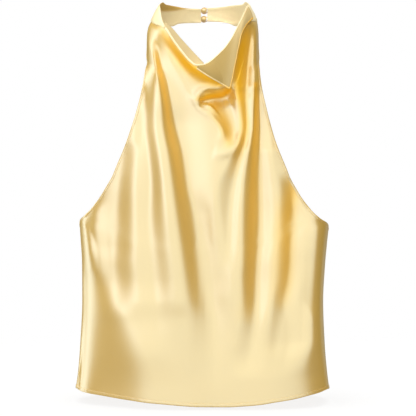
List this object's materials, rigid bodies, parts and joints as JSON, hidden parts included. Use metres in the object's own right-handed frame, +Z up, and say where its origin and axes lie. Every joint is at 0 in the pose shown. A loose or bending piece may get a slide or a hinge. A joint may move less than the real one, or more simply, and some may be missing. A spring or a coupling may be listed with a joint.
{
  "type": "halter neck top",
  "caption": "Sleeveless satin halter neck top with a cowl front, open back, and a neckband closed at the nape by ball buttons and loops, hollow as worn.",
  "frame": {"origin": "centre of the ring of the neckband, where the wearer's neck carries the top", "axes": "+Z up, front of the garment towards -Y, +X towards the wearer's left"},
  "size_m": [0.3673, 0.2197, 0.576],
  "materials": {
    "satin": "pale gold satin, soft directional sheen",
    "satin_wrong_side": "duller beige wrong side of the satin",
    "button": "pearly pale gold"
  },
  "bodies": {
    "root": {"front_panel": "satin", "back_panel": "satin", "neckband_button_side": "satin", "neckband_loop_side": "satin", "facing_inner": "satin_wrong_side", "facing_turned_out": "satin_wrong_side", "button_upper": "button", "button_lower": "button", "loop_upper": "satin", "loop_lower": "satin"}
  },
  "joints": []
}
